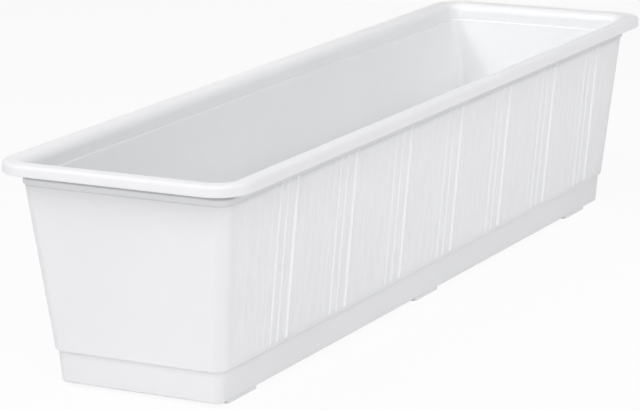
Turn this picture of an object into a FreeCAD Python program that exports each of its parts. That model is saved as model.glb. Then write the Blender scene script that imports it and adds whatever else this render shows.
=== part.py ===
import FreeCAD, Part
import math
import os

from FreeCAD import Vector

# A long moulded window box that stands in its own clip-on drip tray.
# Millimetres. X runs along the box, -Y is the front, Z is up.
# The origin is on the floor, under the middle of the box.

os.makedirs("parts", exist_ok=True)

# ---------------------------------------------------------------- driving sizes

# Overall
length = 800.0              # over the rim
width = 213.5               # over the rim
height = 180.7              # floor to the top of the rim
wall = 2.0                  # moulded wall of the trough
corner_radius = 11.0        # upright corners of the body, outside

join = 1.5                  # how far the forms of one moulding run into each other

# Rim: a lip that rolls outwards and hangs down
rim_overhang = 15.4         # collar face to the outside of the lip
rim_drop = 9.1              # top of the rim to the lower edge of the lip
rim_thickness = 2.0
rim_outer_round = 3.5       # top outer edge of the lip
rim_inner_round = 8.0       # top inner edge, where soil is filled in
rim_flare = 0.4             # the lip's lower edge stands out by this much
rim_edge_bevel = 0.6        # lower edge of the lip
rim_inner_bevel = 3.5       # underside of the top inner edge

# Collar: the upright band under the rim
collar_depth = 18.9         # top of the rim to the step under the collar
collar_step = 1.5           # how far the body steps in below it
ledge_depth = 15.9          # top of the rim to the matching ledge on the inside

# Body and skirt
skirt_level = 29.3          # lower edge of the body
body_draft = 0.1028         # inward lean of every wall for each mm of height
floor_underside = 35.0
floor_thickness = 2.0
floor_round = 5.0           # inside, between the floor and the walls

# Beads: upright half-round mouldings in groups on both long walls
bead_pitch = 98.1           # group to group
bead_end_margin = 45.0      # least plain wall beyond the last group's centre
bead_foot_gap = 2.5         # skirt edge to the lower end of a bead
bead_places = (-18.0, -7.5, 4.0, 18.0)
bead_half_widths = (1.5, 2.2, 2.2, 2.8)
bead_heights = (0.5, 1.1, 1.1, 1.35)
bead_root = 0.8             # how far a bead runs up into the collar
bead_row_shift = 5.0        # the row of groups stands this far towards +X

# Drain holes in the trough's floor
drain_rows = 2
drain_columns = 3
drain_row_spacing = 76.0
drain_column_spacing = 245.0
drain_bore_radius = 6.0
drain_seat_radius = 11.0    # shallow round seat that holds the plug's flange
drain_seat_depth = 1.0
drain_boss_radius = 12.5
drain_boss_drop = 3.5

# Drain plugs
plug_clearance = 0.08       # stem to bore, on the radius
plug_flange_radius = 9.5
plug_flange_thickness = 1.5
plug_below_boss = 1.5       # how far the stem comes out below the bore
plug_grip_length = 11.0
plug_grip_thickness = 2.4
plug_grip_height = 7.5
plug_grip_round = 4.0       # top corners of the grip

# Stiffening ribs under the trough's floor
under_rib_thickness = 1.6
under_rib_drop = 3.0
under_rib_edge_gap = 5.0    # skirt's inner face to the ends of the ribs
under_rib_count = 9
under_rib_row = 22.0        # the two long ribs stand this far from the middle

# Drip tray
tray_gap = 0.3              # tray to the inside of the skirt
tray_edge_relief = 0.2      # the tray's upright edge stands back by this much more
tray_edge_wall = 1.6
tray_wall = 2.0
tray_draft = 0.0936
tray_floor = 2.0
tray_foot_bevel = 1.2       # round the underside
tray_inside_bevel = 1.5     # between the tray's floor and its wall

# Foot pads under the tray
foot_height = 2.8
foot_length = 45.0
foot_width = 14.0
foot_round = 3.0
foot_count = 3              # on each long side
foot_inset = 1.2            # tray's lower edge to the outside of a pad
foot_gap_near = 14.0        # from the -X end of the tray's underside
foot_gap_far = 30.0         # from the +X end

# Hollow pillars in the tray, which carry the trough's floor
pillar_count = 4
pillar_end_gap = 73.0       # tray's inner end face to the first pillar's axis
pillar_radius = 10.0
pillar_wall = 2.0
socket_clearance = 0.5      # pillar to the ring that it enters
socket_wall = 2.2
socket_drop = 4.0

# Low ribs on the tray's floor
tray_rib_thickness = 1.8
tray_rib_height = 2.5
tray_rib_row = 32.0
tray_rib_end_gap = 12.0
tray_rib_count = 8

# ---------------------------------------------------------------- derived levels

collar_inset = rim_overhang
collar_foot = height - collar_depth
ledge_level = height - ledge_depth
body_top_inset = collar_inset + collar_step
skirt_inset = body_top_inset + body_draft * (collar_foot - skirt_level)
floor_top = floor_underside + floor_thickness
collar_radius = corner_radius + collar_step
rim_radius = collar_radius + rim_overhang
rim_base = height - rim_drop - join
tray_inset = skirt_inset + wall + tray_gap
tray_foot_inset = tray_inset + tray_draft * (skirt_level - foot_height)
tray_radius = corner_radius - wall - tray_gap
drain_seat = floor_top - drain_seat_depth


def body_inset(level):
    """Inset of the body's outer face from the rim's outline at a level."""
    return skirt_inset - body_draft * (level - skirt_level)


# ---------------------------------------------------------------- building blocks

def tapered(low_level, high_level, low_inset, draft, radius):
    """Rectangular block whose four walls lean outwards, with round uprights.

    The inset is measured from the rim's outline; the draft is the lean in mm
    for each mm of height, and 0 gives upright walls.
    """
    corners = []
    for level in (low_level, high_level):
        inset = low_inset - draft * (level - low_level)
        x = length / 2 - inset
        y = width / 2 - inset
        corners.append([
            Vector(-x, -y, level),
            Vector(x, -y, level),
            Vector(x, y, level),
            Vector(-x, y, level),
        ])
    low, high = corners
    rings = [low[::-1], high]
    rings += [[low[side], low[side - 3], high[side - 3], high[side]] for side in range(4)]
    faces = [Part.Face(Part.makePolygon(ring + ring[:1])) for ring in rings]
    solid = Part.makeSolid(Part.makeShell(faces))
    middle = (low_level + high_level) / 2
    uprights = [edge for edge in solid.Edges if edge.BoundBox.ZMin < middle < edge.BoundBox.ZMax]
    return solid.makeFillet(radius, uprights)


def round_foot(solid, level, radius):
    """Round the edges that run along the bottom of a block."""
    limit = level + radius / 2
    low_edges = [edge for edge in solid.Edges if edge.BoundBox.ZMax < limit]
    return solid.makeFillet(radius, low_edges)


def block(low, high):
    """Box between two corners."""
    size = high - low
    return Part.makeBox(size.x, size.y, size.z, low)


def turned(points, centre):
    """Solid of revolution about an upright axis; points are (radius, level)."""
    wire = Part.makePolygon([Vector(r, 0, z) for r, z in points + points[:1]])
    solid = Part.Face(wire).revolve(Vector(0, 0, 0), Vector(0, 0, 1), 360)
    solid.translate(Vector(centre[0], centre[1], 0))
    return solid


def run_round(section, axis_inset):
    """Ring with one section: straight along four sides, turned at four corners.

    The section is drawn in the XZ plane at the +X end. The corners turn about
    upright axes that stand in from the rim's outline by the axis inset.
    """
    flat_x = length / 2 - axis_inset
    flat_y = width / 2 - axis_inset
    start = section.copy()
    start.translate(Vector(0, -flat_y, 0))
    side_start = start.copy()
    side_start.rotate(Vector(flat_x, -flat_y, 0), Vector(0, 0, 1), -90)
    end_run = start.extrude(Vector(0, 2 * flat_y, 0))
    side_run = side_start.extrude(Vector(-2 * flat_x, 0, 0))
    corner = start.revolve(Vector(flat_x, -flat_y, 0), Vector(0, 0, 1), -90)
    corner_back = corner.mirror(Vector(0, 0, 0), Vector(0, 1, 0))
    pieces = [end_run, corner, corner_back]
    pieces += [piece.mirror(Vector(0, 0, 0), Vector(1, 0, 0)) for piece in pieces]
    pieces += [side_run, side_run.mirror(Vector(0, 0, 0), Vector(0, 1, 0))]
    return pieces[0].multiFuse(pieces[1:]).removeSplitter()


def closed_face(edges):
    """Flat face inside a closed run of edges."""
    return Part.Face(Part.Wire(edges))


def polyline(points):
    """Straight edges through points."""
    return [Part.LineSegment(first, last).toShape() for first, last in zip(points, points[1:])]


def quarter(centre, radius, start_x, start_z):
    """Quarter arc in the XZ plane, from the point beside the centre to the one above or below it.

    start_x and start_z are -1 or 1 and give the side and the way up or down.
    """
    corner = radius * math.sqrt(0.5)
    return Part.Arc(
        centre + Vector(start_x * radius, 0, 0),
        centre + Vector(start_x * corner, 0, start_z * corner),
        centre + Vector(0, 0, start_z * radius)).toShape()


def end_point(inset, level):
    """Point of a section at the +X end."""
    return Vector(length / 2 - inset, 0, level)


def spread(count, first, last):
    """Evenly spaced places from first to last."""
    step = (last - first) / (count - 1)
    return [first + step * index for index in range(count)]


# ---------------------------------------------------------------- shared places

drain_places = []
for column in range(drain_columns):
    for row in range(drain_rows):
        drain_x = (column - (drain_columns - 1) / 2) * drain_column_spacing
        drain_y = (row - (drain_rows - 1) / 2) * drain_row_spacing
        drain_places.append((drain_x, drain_y))

tray_inner_end = length / 2 - tray_inset - tray_wall
pillar_reach = tray_inner_end - pillar_end_gap
pillar_places = [(x, 0.0) for x in spread(pillar_count, -pillar_reach, pillar_reach)]


# ---------------------------------------------------------------- trough

def rim_profile():
    """Section of the rolled lip and of the wall that carries it, in the XZ plane."""
    under = height - rim_thickness
    inner = collar_inset + wall
    lower = height - rim_drop
    outer_level = height - rim_outer_round
    inner_level = height - rim_inner_round
    bevel = rim_outer_round - rim_thickness
    edges = polyline([end_point(inner, rim_base), end_point(inner, inner_level)])
    edges.append(quarter(end_point(inner - rim_inner_round, inner_level), rim_inner_round, -1, 1))
    edges += polyline([
        end_point(inner - rim_inner_round, height),
        end_point(rim_flare + rim_outer_round, height),
    ])
    edges.append(quarter(end_point(rim_flare + rim_outer_round, outer_level), rim_outer_round, 1, 1))
    edges += polyline([
        end_point(rim_flare, outer_level),
        end_point(0, lower + rim_edge_bevel),
        end_point(rim_edge_bevel, lower),
        end_point(rim_thickness, lower),
        end_point(rim_flare + rim_thickness, outer_level),
        end_point(rim_flare + rim_thickness + bevel, under),
        end_point(collar_inset - rim_inner_bevel, under),
        end_point(collar_inset, under - rim_inner_bevel),
        end_point(collar_inset, rim_base),
        end_point(inner, rim_base),
    ])
    return closed_face(edges)


def make_rim():
    """Rolled lip: its section run along four sides and turned at four corners."""
    return run_round(rim_profile(), rim_radius)


def bead(x, half_width, rise, side):
    """Half-round moulding that follows the lean of a long wall."""
    radius = (half_width ** 2 + rise ** 2) / (2 * rise)
    sunk = radius - rise
    low = skirt_level + bead_foot_gap
    high = collar_foot + bead_root

    def on_wall(level):
        return Vector(x, side * (width / 2 - body_inset(level) - sunk), level)

    start = on_wall(low)
    run = on_wall(high) - start
    return Part.makeCylinder(radius, run.Length, start, run)


def make_beads():
    """All beads on both long walls, in evenly spaced groups."""
    flat_length = length - 2 * skirt_inset - 2 * corner_radius
    reach = flat_length - 2 * bead_end_margin - (bead_places[-1] - bead_places[0])
    groups = int(reach // bead_pitch) + 1
    beads = []
    for group in range(groups):
        centre = (group - (groups - 1) / 2) * bead_pitch + bead_row_shift
        for place, half_width, rise in zip(bead_places, bead_half_widths, bead_heights):
            for side in (-1, 1):
                beads.append(bead(centre + place, half_width, rise, side))
    return beads


def trough_outside():
    """Leaning body with the upright collar round its top, up to where the rim starts."""
    body = tapered(skirt_level, collar_foot + join, skirt_inset, body_draft, corner_radius)
    collar = tapered(collar_foot, rim_base, collar_inset, 0, collar_radius)
    return body.fuse(collar)


def trough_hollow():
    """Space for the soil, rounded along the floor, with a ledge below the rim."""
    inset = body_inset(floor_top) + wall
    lower = tapered(floor_top, ledge_level + join, inset, body_draft, corner_radius - wall)
    lower = round_foot(lower, floor_top, floor_round)
    upper = tapered(ledge_level, rim_base, collar_inset + wall, 0, collar_radius - wall)
    return lower.fuse(upper)


def skirt_hollow():
    """Space under the floor that takes the tray's upright edge."""
    return tapered(skirt_level, floor_underside, skirt_inset + wall, body_draft, corner_radius - wall)


def make_under_ribs():
    """Long ribs and cross ribs under the trough's floor."""
    inset = skirt_inset + wall + under_rib_edge_gap
    reach_x = length / 2 - inset
    reach_y = width / 2 - inset
    half = under_rib_thickness / 2
    low = floor_underside - under_rib_drop
    ribs = []
    for y in (-under_rib_row, under_rib_row):
        ribs.append(block(Vector(-reach_x, y - half, low), Vector(reach_x, y + half, floor_underside)))
    for x in spread(under_rib_count, -reach_x + half, reach_x - half):
        ribs.append(block(Vector(x - half, -reach_y, low), Vector(x + half, reach_y, floor_underside)))
    return ribs


def make_trough():
    """Trough: walls, rim, collar, beads, floor, drain seats, sockets and ribs."""
    body = trough_outside().multiFuse(make_beads())
    body = body.cut(trough_hollow()).cut(skirt_hollow())
    additions = [make_rim()] + make_under_ribs()
    removals = []
    boss_low = floor_underside - drain_boss_drop
    for x, y in drain_places:
        additions.append(Part.makeCylinder(drain_boss_radius, drain_boss_drop, Vector(x, y, boss_low)))
        removals.append(turned([
            (0, floor_top),
            (drain_seat_radius, floor_top),
            (drain_seat_radius, drain_seat),
            (drain_bore_radius, drain_seat),
            (drain_bore_radius, boss_low),
            (0, boss_low),
        ], (x, y)))
    socket_bore = pillar_radius + socket_clearance
    socket_low = floor_underside - socket_drop
    for x, y in pillar_places:
        place = Vector(x, y, socket_low)
        additions.append(Part.makeCylinder(socket_bore + socket_wall, socket_drop, place))
        removals.append(Part.makeCylinder(socket_bore, socket_drop, place))
    body = body.multiFuse(additions)
    return body.cut(Part.makeCompound(removals)).removeSplitter()


# ---------------------------------------------------------------- drip tray

def make_pillar(x, y):
    """Outside of one pillar, from the tray's floor to the trough's floor."""
    low = foot_height + tray_floor
    return Part.makeCylinder(pillar_radius, floor_underside - low, Vector(x, y, low))


def make_pillar_core(x, y):
    """Hollow inside one pillar, open below the tray."""
    rise = floor_underside - pillar_wall - foot_height
    return Part.makeCylinder(pillar_radius - pillar_wall, rise, Vector(x, y, foot_height))


def make_foot(x, side):
    """One low pad under the tray, with round corners."""
    y = side * (width / 2 - tray_foot_inset - foot_inset - foot_width / 2)
    low = Vector(x - foot_length / 2, y - foot_width / 2, 0)
    high = Vector(x + foot_length / 2, y + foot_width / 2, foot_height + tray_floor / 2)
    pad = block(low, high)
    uprights = [edge for edge in pad.Edges if edge.BoundBox.ZLength > foot_height / 2]
    return pad.makeFillet(foot_round, uprights)


def make_tray_ribs():
    """Low ribs that keep the tray's floor flat."""
    reach_x = length / 2 - tray_foot_inset - tray_wall - tray_rib_end_gap
    half = tray_rib_thickness / 2
    low = foot_height + tray_floor
    high = low + tray_rib_height
    ribs = []
    for y in (-tray_rib_row, tray_rib_row):
        ribs.append(block(Vector(-reach_x, y - half, low), Vector(reach_x, y + half, high)))
    for x in spread(tray_rib_count, -reach_x + half, reach_x - half):
        ribs.append(block(Vector(x - half, -tray_rib_row, low), Vector(x + half, tray_rib_row, high)))
    return ribs


def tray_profile():
    """Section of the tray's wall, upright edge and floor margin, in the XZ plane."""
    floor_level = foot_height + tray_floor
    axis = tray_inset + tray_radius
    foot = tray_foot_inset
    edge = tray_inset + tray_edge_relief
    inner_foot = foot - tray_draft * tray_floor + tray_wall
    edges = polyline([
        end_point(axis, floor_level),
        end_point(axis, foot_height),
        end_point(foot + tray_foot_bevel, foot_height),
        end_point(foot - tray_draft * tray_foot_bevel, foot_height + tray_foot_bevel),
        end_point(tray_inset, skirt_level),
        end_point(edge, skirt_level),
        end_point(edge, floor_underside),
        end_point(edge + tray_edge_wall, floor_underside),
        end_point(edge + tray_edge_wall, skirt_level),
        end_point(inner_foot - tray_draft * tray_inside_bevel, floor_level + tray_inside_bevel),
        end_point(inner_foot + tray_inside_bevel, floor_level),
        end_point(axis, floor_level),
    ])
    return closed_face(edges)


def make_tray():
    """Drip tray: leaning wall, upright edge, foot pads, pillars and ribs."""
    axis = tray_inset + tray_radius
    shell = run_round(tray_profile(), axis)
    floor_x = length / 2 - axis
    floor_y = width / 2 - axis
    plate = block(
        Vector(-floor_x, -floor_y, foot_height),
        Vector(floor_x, floor_y, foot_height + tray_floor))
    shell = shell.fuse(plate)
    half = length / 2 - tray_foot_inset
    first = -half + foot_gap_near + foot_length / 2
    last = half - foot_gap_far - foot_length / 2
    additions = make_tray_ribs()
    for x in spread(foot_count, first, last):
        for side in (-1, 1):
            additions.append(make_foot(x, side))
    additions += [make_pillar(x, y) for x, y in pillar_places]
    shell = shell.multiFuse(additions)
    cores = [make_pillar_core(x, y) for x, y in pillar_places]
    return shell.cut(Part.makeCompound(cores)).removeSplitter()


# ---------------------------------------------------------------- drain plugs

def make_plug(x, y):
    """Push-in stopper: flange on the seat, stem in the bore, finger grip."""
    stem = drain_bore_radius - plug_clearance
    stem_low = floor_underside - drain_boss_drop - plug_below_boss
    flange_top = drain_seat + plug_flange_thickness
    plug = turned([
        (0, flange_top),
        (plug_flange_radius, flange_top),
        (plug_flange_radius, drain_seat),
        (stem, drain_seat),
        (stem, stem_low),
        (0, stem_low),
    ], (x, y))
    half_length = plug_grip_length / 2
    half_thickness = plug_grip_thickness / 2
    grip = block(
        Vector(x - half_length, y - half_thickness, drain_seat),
        Vector(x + half_length, y + half_thickness, flange_top + plug_grip_height))
    upper = [edge for edge in grip.Edges if edge.BoundBox.ZMin > flange_top]
    top_ends = [edge for edge in upper if edge.BoundBox.XLength < half_length]
    return plug.fuse(grip.makeFillet(plug_grip_round, top_ends)).removeSplitter()


# ---------------------------------------------------------------- build

def save(name, shape):
    """Check a piece and write it."""
    solids = shape.Solids
    volume = round(shape.Volume / 1000, 2)
    print(name, "solids", len(solids), "valid", shape.isValid(), "volume", volume, "cm3")
    solids[0].exportStep("parts/" + name + ".step")


save("trough_shell", make_trough())
save("drip_tray", make_tray())
for number, (plug_x, plug_y) in enumerate(drain_places, start=1):
    save("drain_plug_%d" % number, make_plug(plug_x, plug_y))
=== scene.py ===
"""Looks of a white moulded window box: trough, clip-on drip tray and drain plugs.

Sizes are in millimetres, as on a mould drawing, and a mesh is scaled to metres when it is made.
X runs along the box, -Y is the front, Z is up, and the floor is at level 0.
"""

from __future__ import annotations

import logging
import math
from dataclasses import dataclass, field
from enum import Enum
from typing import Any, Sequence

import bmesh
import bpy
import numpy as np
from mathutils import Matrix, Vector


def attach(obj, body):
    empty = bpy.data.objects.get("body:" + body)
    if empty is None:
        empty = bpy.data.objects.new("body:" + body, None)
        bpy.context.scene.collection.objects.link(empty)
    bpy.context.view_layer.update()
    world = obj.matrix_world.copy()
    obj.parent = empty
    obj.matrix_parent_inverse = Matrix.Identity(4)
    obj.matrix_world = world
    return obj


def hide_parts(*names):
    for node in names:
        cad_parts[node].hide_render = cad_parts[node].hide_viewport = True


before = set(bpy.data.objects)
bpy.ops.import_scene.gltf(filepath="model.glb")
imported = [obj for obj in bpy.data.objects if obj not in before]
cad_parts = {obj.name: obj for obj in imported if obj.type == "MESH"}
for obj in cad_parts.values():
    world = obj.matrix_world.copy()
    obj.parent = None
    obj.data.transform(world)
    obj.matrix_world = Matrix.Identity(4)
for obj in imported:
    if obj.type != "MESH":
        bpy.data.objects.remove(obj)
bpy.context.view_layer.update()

logging.basicConfig(level=logging.INFO, format="%(message)s")
log = logging.getLogger("window_box")

MILLIMETRE = 0.001
# Marks on each point: grain (its bump, with painted light and painted shade), crest (a painted highlight and
# polish) and recess (painted shade).
MARKS = ("grain", "crest", "recess")


# ---------------------------------------------------------------- surfaces


@dataclass
class Surface:
    """Points and four-sided faces of one or more closed skins.

    Attributes:
        points: One row of X, Y, Z for each point, in millimetres.
        faces: One row of four point numbers for each face.
        marks: One row for each point, from 0 to 1: how much of the wall's grain shows there, how
        far up a bead it is, and how deep it lies in a recess. From these the material paints light
        and shade into the grain, a highlight on the crests and shade in the recesses.
    """

    points: np.ndarray
    faces: np.ndarray
    marks: np.ndarray

    @staticmethod
    def join(parts: Sequence["Surface"]) -> "Surface":
        """Put several surfaces into one, with the point numbers moved on.

        Args:
            parts: Surfaces in any order.

        Returns:
            One surface that holds them all.
        """
        starts = np.cumsum([0] + [len(part.points) for part in parts[:-1]])
        return Surface(
            np.concatenate([part.points for part in parts]),
            np.concatenate([part.faces + start for part, start in zip(parts, starts)]),
            np.concatenate([part.marks for part in parts]),
        )

    @staticmethod
    def from_grid(
        grid: np.ndarray, wrap_rows: bool, wrap_columns: bool, marks: np.ndarray | None = None
    ) -> "Surface":
        """Make faces between neighbouring points of a grid.

        Args:
            grid: Rows by columns by X, Y, Z.
            wrap_rows: Whether the last row joins the first.
            wrap_columns: Whether the last column joins the first.
            marks: Rows by columns by the three marks; none if left out.

        Returns:
            The surface of the grid.
        """
        rows, columns = grid.shape[:2]
        number = np.arange(rows * columns).reshape(rows, columns)
        if wrap_rows:
            number = np.concatenate([number, number[:1]])
        if wrap_columns:
            number = np.concatenate([number, number[:, :1]], axis=1)
        faces = np.stack([number[:-1, :-1], number[:-1, 1:], number[1:, 1:], number[1:, :-1]], axis=-1)
        strength = np.zeros((rows, columns, len(MARKS))) if marks is None else marks
        return Surface(grid.reshape(-1, 3), faces.reshape(-1, 4), strength.reshape(-1, len(MARKS)))

    def to_object(self, name: str, sharp_angle: float = 40.0) -> bpy.types.Object:
        """Make a mesh object in metres, with merged doubles and faces that point outwards.

        Args:
            name: Name of the piece.
            sharp_angle: Edges that turn by more than this many degrees stay sharp.

        Returns:
            The new object, at the origin.
        """
        mesh = bpy.data.meshes.new(name)
        mesh.from_pydata((self.points * MILLIMETRE).tolist(), [], self.faces.tolist())
        for mark, strength in zip(MARKS, self.marks.T.astype(np.float32)):
            layer = mesh.attributes.new(mark, "FLOAT", "POINT")
            layer.data.foreach_set("value", np.ascontiguousarray(strength))
        work = bmesh.new()
        work.from_mesh(mesh)
        bmesh.ops.remove_doubles(work, verts=work.verts, dist=2e-6)
        bmesh.ops.dissolve_degenerate(work, edges=work.edges, dist=1e-7)
        bmesh.ops.recalc_face_normals(work, faces=work.faces)
        work.to_mesh(mesh)
        work.free()
        mesh.shade_smooth()
        mesh.set_sharp_from_angle(angle=math.radians(sharp_angle))
        piece = bpy.data.objects.new(name, mesh)
        bpy.context.scene.collection.objects.link(piece)
        return piece


@dataclass
class Profile:
    """Section of a moulding as a run of corners, each with its own rounding.

    Attributes:
        corners: Rows of inset from the rim's outline, level, plan radius and rounding.
        steps: Number of steps that make each rounded corner.
    """

    corners: np.ndarray
    steps: int = 5

    def softened(self) -> np.ndarray:
        """Round each corner of the closed run.

        The arc touches both sides of the corner at the rounding's tangent length,
        which is the rounding times the tangent of half the turn. A guard point just
        past each end of the arc keeps the flat stretches flat.

        Returns:
            Rows of inset, level and plan radius.
        """
        place = self.corners[:, :3]
        before = np.roll(place, 1, axis=0) - place
        after = np.roll(place, -1, axis=0) - place
        reach_before = np.linalg.norm(before[:, :2], axis=1)
        reach_after = np.linalg.norm(after[:, :2], axis=1)
        way_before = before / reach_before[:, None]
        way_after = after / reach_after[:, None]
        opening = np.arccos(np.clip((way_before[:, :2] * way_after[:, :2]).sum(1), -1, 1))
        turn = np.pi - opening
        rounding = self.corners[:, 3]
        tangent = np.minimum(rounding * np.tan(turn / 2), 0.48 * np.minimum(reach_before, reach_after))
        room = reach_after - tangent - np.roll(tangent, -1)
        guard = np.minimum(0.3, 0.3 * room)[:, None, None]
        radius = tangent / np.maximum(np.tan(turn / 2), 1e-9)
        middle = way_before[:, :2] + way_after[:, :2]
        middle /= np.maximum(np.linalg.norm(middle, axis=1), 1e-9)[:, None]
        centre = place[:, :2] + middle * (radius / np.maximum(np.cos(turn / 2), 1e-9))[:, None]
        share = np.linspace(0, 1, self.steps + 1)[None, :, None]
        start = (place + way_before * tangent[:, None])[:, None, :]
        end = (place + way_after * tangent[:, None])[:, None, :]
        chord = start + (end - start) * share
        spoke = chord[..., :2] - centre[:, None, :]
        length = np.maximum(np.linalg.norm(spoke, axis=2, keepdims=True), 1e-9)
        arc = chord.copy()
        arc[..., :2] = centre[:, None, :] + spoke / length * radius[:, None, None]
        first = start + way_before[:, None, :] * np.roll(guard, 1, axis=0)
        last = end + way_after[:, None, :] * guard
        return np.concatenate([first, arc, last], axis=1).reshape(-1, 3)


@dataclass
class Loops:
    """Rounded rectangles stacked into a skin.

    Attributes:
        half_x: Half length of each loop.
        half_y: Half width of each loop.
        radius: Corner radius of each loop.
        level: Height of each loop.
        corner_steps: Steps in each quarter turn.
        centre: Where the loops' axis stands.
    """

    half_x: np.ndarray
    half_y: np.ndarray
    radius: np.ndarray
    level: np.ndarray
    corner_steps: int = 8
    centre: tuple[float, float] = (0.0, 0.0)

    @staticmethod
    def turned(
        radius: Sequence[float], level: Sequence[float], centre: tuple[float, float], corner_steps: int = 8
    ) -> "Loops":
        """Loops that are circles, for anything turned about an upright axis.

        Args:
            radius: Radius of each circle.
            level: Height of each circle.
            centre: Where the axis stands.
            corner_steps: Steps in each quarter turn.

        Returns:
            The stack of circles.
        """
        size = np.asarray(radius, float)
        return Loops(size, size, size, np.asarray(level, float), corner_steps, centre)

    def grid(self) -> np.ndarray:
        """Place the points: a corner's centre plus its radius times the cosine and sine of the angle.

        Returns:
            Loops by points by X, Y, Z.
        """
        angle = np.linspace(0, np.pi / 2, self.corner_steps + 1)
        quarter = np.arange(4)[:, None] * np.pi / 2 + angle
        side_x = np.sign(np.cos(np.arange(4) * np.pi / 2 + np.pi / 4))[:, None]
        side_y = np.sign(np.sin(np.arange(4) * np.pi / 2 + np.pi / 4))[:, None]
        cosine, sine = np.cos(quarter), np.sin(quarter)
        radius = np.minimum(self.radius, np.minimum(self.half_x, self.half_y))[:, None, None]
        x = side_x * (self.half_x[:, None, None] - radius) + radius * cosine + self.centre[0]
        y = side_y * (self.half_y[:, None, None] - radius) + radius * sine + self.centre[1]
        z = np.broadcast_to(self.level[:, None, None], x.shape)
        return np.stack([x, y, z], axis=-1).reshape(len(self.level), -1, 3)

    def skin(self) -> Surface:
        """Surface through the loops, open at its first and last loop."""
        return Surface.from_grid(self.grid(), wrap_rows=False, wrap_columns=True)


def rounded_block(
    low: tuple[float, float, float], high: tuple[float, float, float], upright: float, edge: float
) -> Surface:
    """Block with round upright corners and softened edges along its bottom and top.

    Each end is a quarter arc of loops that shrink as the cosine of the angle, closed flat to its middle.

    Args:
        low: Lowest X, Y and level.
        high: Highest X, Y and level.
        upright: Radius of the upright corners.
        edge: Radius of the edges round both ends.

    Returns:
        The closed skin.
    """
    angle = np.linspace(0, np.pi / 2, 5)
    shrink = np.concatenate([edge * (1 - np.sin(angle)), edge * (1 - np.cos(angle))])
    rise = np.concatenate([edge * (1 - np.cos(angle)), (high[2] - low[2]) - edge * (1 - np.sin(angle))])
    half_x, half_y = (high[0] - low[0]) / 2, (high[1] - low[1]) / 2
    inner = min(half_x, half_y)
    size_x = np.concatenate([[half_x - inner], half_x - shrink, [half_x - inner]])
    size_y = np.concatenate([[half_y - inner], half_y - shrink, [half_y - inner]])
    level = low[2] + np.concatenate([[0.0], rise, [high[2] - low[2]]])
    radius = np.concatenate([[0.0], np.maximum(upright - shrink, 0.05), [0.0]])
    centre = ((low[0] + high[0]) / 2, (low[1] + high[1]) / 2)
    return Loops(size_x, size_y, radius, level, 4, centre).skin()


def rib_grid(
    reach: float, row: float, cross_reach: float, low: float, high: float, thickness: float,
    count: int, upright: float,
) -> Surface:
    """Two long ribs, with evenly spaced ribs across them.

    Args:
        reach: Half length of the long ribs.
        row: How far each long rib stands from the middle.
        cross_reach: Half length of the ribs across.
        low: Level of the ribs' undersides.
        high: Level of their tops.
        thickness: Thickness of every rib.
        count: Number of ribs across.
        upright: Radius of the ribs' upright corners.

    Returns:
        The closed ribs.
    """
    half = thickness / 2
    bars = [((-reach, y - half, low), (reach, y + half, high)) for y in (-row, row)]
    for x in np.linspace(-reach + half, reach - half, count):
        bars.append(((x - half, -cross_reach, low), (x + half, cross_reach, high)))
    return Surface.join([rounded_block(start, end, upright, 0.3) for start, end in bars])


@dataclass
class Plate:
    """Flat floor with square cells left open for holes or pillars.

    Attributes:
        half_x: Half length.
        half_y: Half width.
        low: Level of the underside.
        high: Level of the top.
        cell: Half side of each open cell.
        places: Middles of the open cells.
    """

    half_x: float
    half_y: float
    low: float
    high: float
    cell: float
    places: Sequence[tuple[float, float]]

    def skin(self) -> Surface:
        """Top, underside and edges of the plate, as a net of straight lines without the open cells.

        Returns:
            The plate's skin, open only at its cells.
        """
        spots = np.asarray(self.places)
        around = (spots - self.cell, spots + self.cell)
        lines_x, lines_y = (
            np.unique(np.concatenate([[-half, half], around[0][:, axis], around[1][:, axis]]))
            for axis, half in enumerate((self.half_x, self.half_y))
        )
        middle_x = (lines_x[:-1] + lines_x[1:]) / 2
        middle_y = (lines_y[:-1] + lines_y[1:]) / 2
        inside = (np.abs(middle_x[:, None, None] - spots[:, 0]) < self.cell) & (
            np.abs(middle_y[None, :, None] - spots[:, 1]) < self.cell
        )
        keep = ~inside.any(axis=2).reshape(-1)
        sheets = []
        for level in (self.low, self.high):
            grid = np.stack(np.meshgrid(lines_x, lines_y, [level], indexing="ij"), axis=-1)[:, :, 0]
            sheet = Surface.from_grid(grid, wrap_rows=False, wrap_columns=False)
            sheets.append(Surface(sheet.points, sheet.faces[keep], sheet.marks))
        rim = np.concatenate([
            np.stack([lines_x[:-1], np.full(len(lines_x) - 1, -self.half_y)], axis=1),
            np.stack([np.full(len(lines_y) - 1, self.half_x), lines_y[:-1]], axis=1),
            np.stack([lines_x[:0:-1], np.full(len(lines_x) - 1, self.half_y)], axis=1),
            np.stack([np.full(len(lines_y) - 1, -self.half_x), lines_y[:0:-1]], axis=1),
        ])
        band = np.stack([np.column_stack([rim, np.full(len(rim), level)]) for level in (self.low, self.high)])
        return Surface.join(sheets + [Surface.from_grid(band, wrap_rows=False, wrap_columns=True)])


@dataclass
class Outline:
    """Outer plan of the moulding that insets are measured from.

    Attributes:
        length: Over the rim, along X.
        width: Over the rim, along Y.
        rim_radius: Corner radius of the rim's outline.
    """

    length: float = 800.0
    width: float = 213.5
    rim_radius: float = 27.9

    def half(self, inset: Any) -> tuple[Any, Any]:
        """Half length and half width of the plan at an inset, or at each of an array of insets."""
        return self.length / 2 - inset, self.width / 2 - inset


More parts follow.
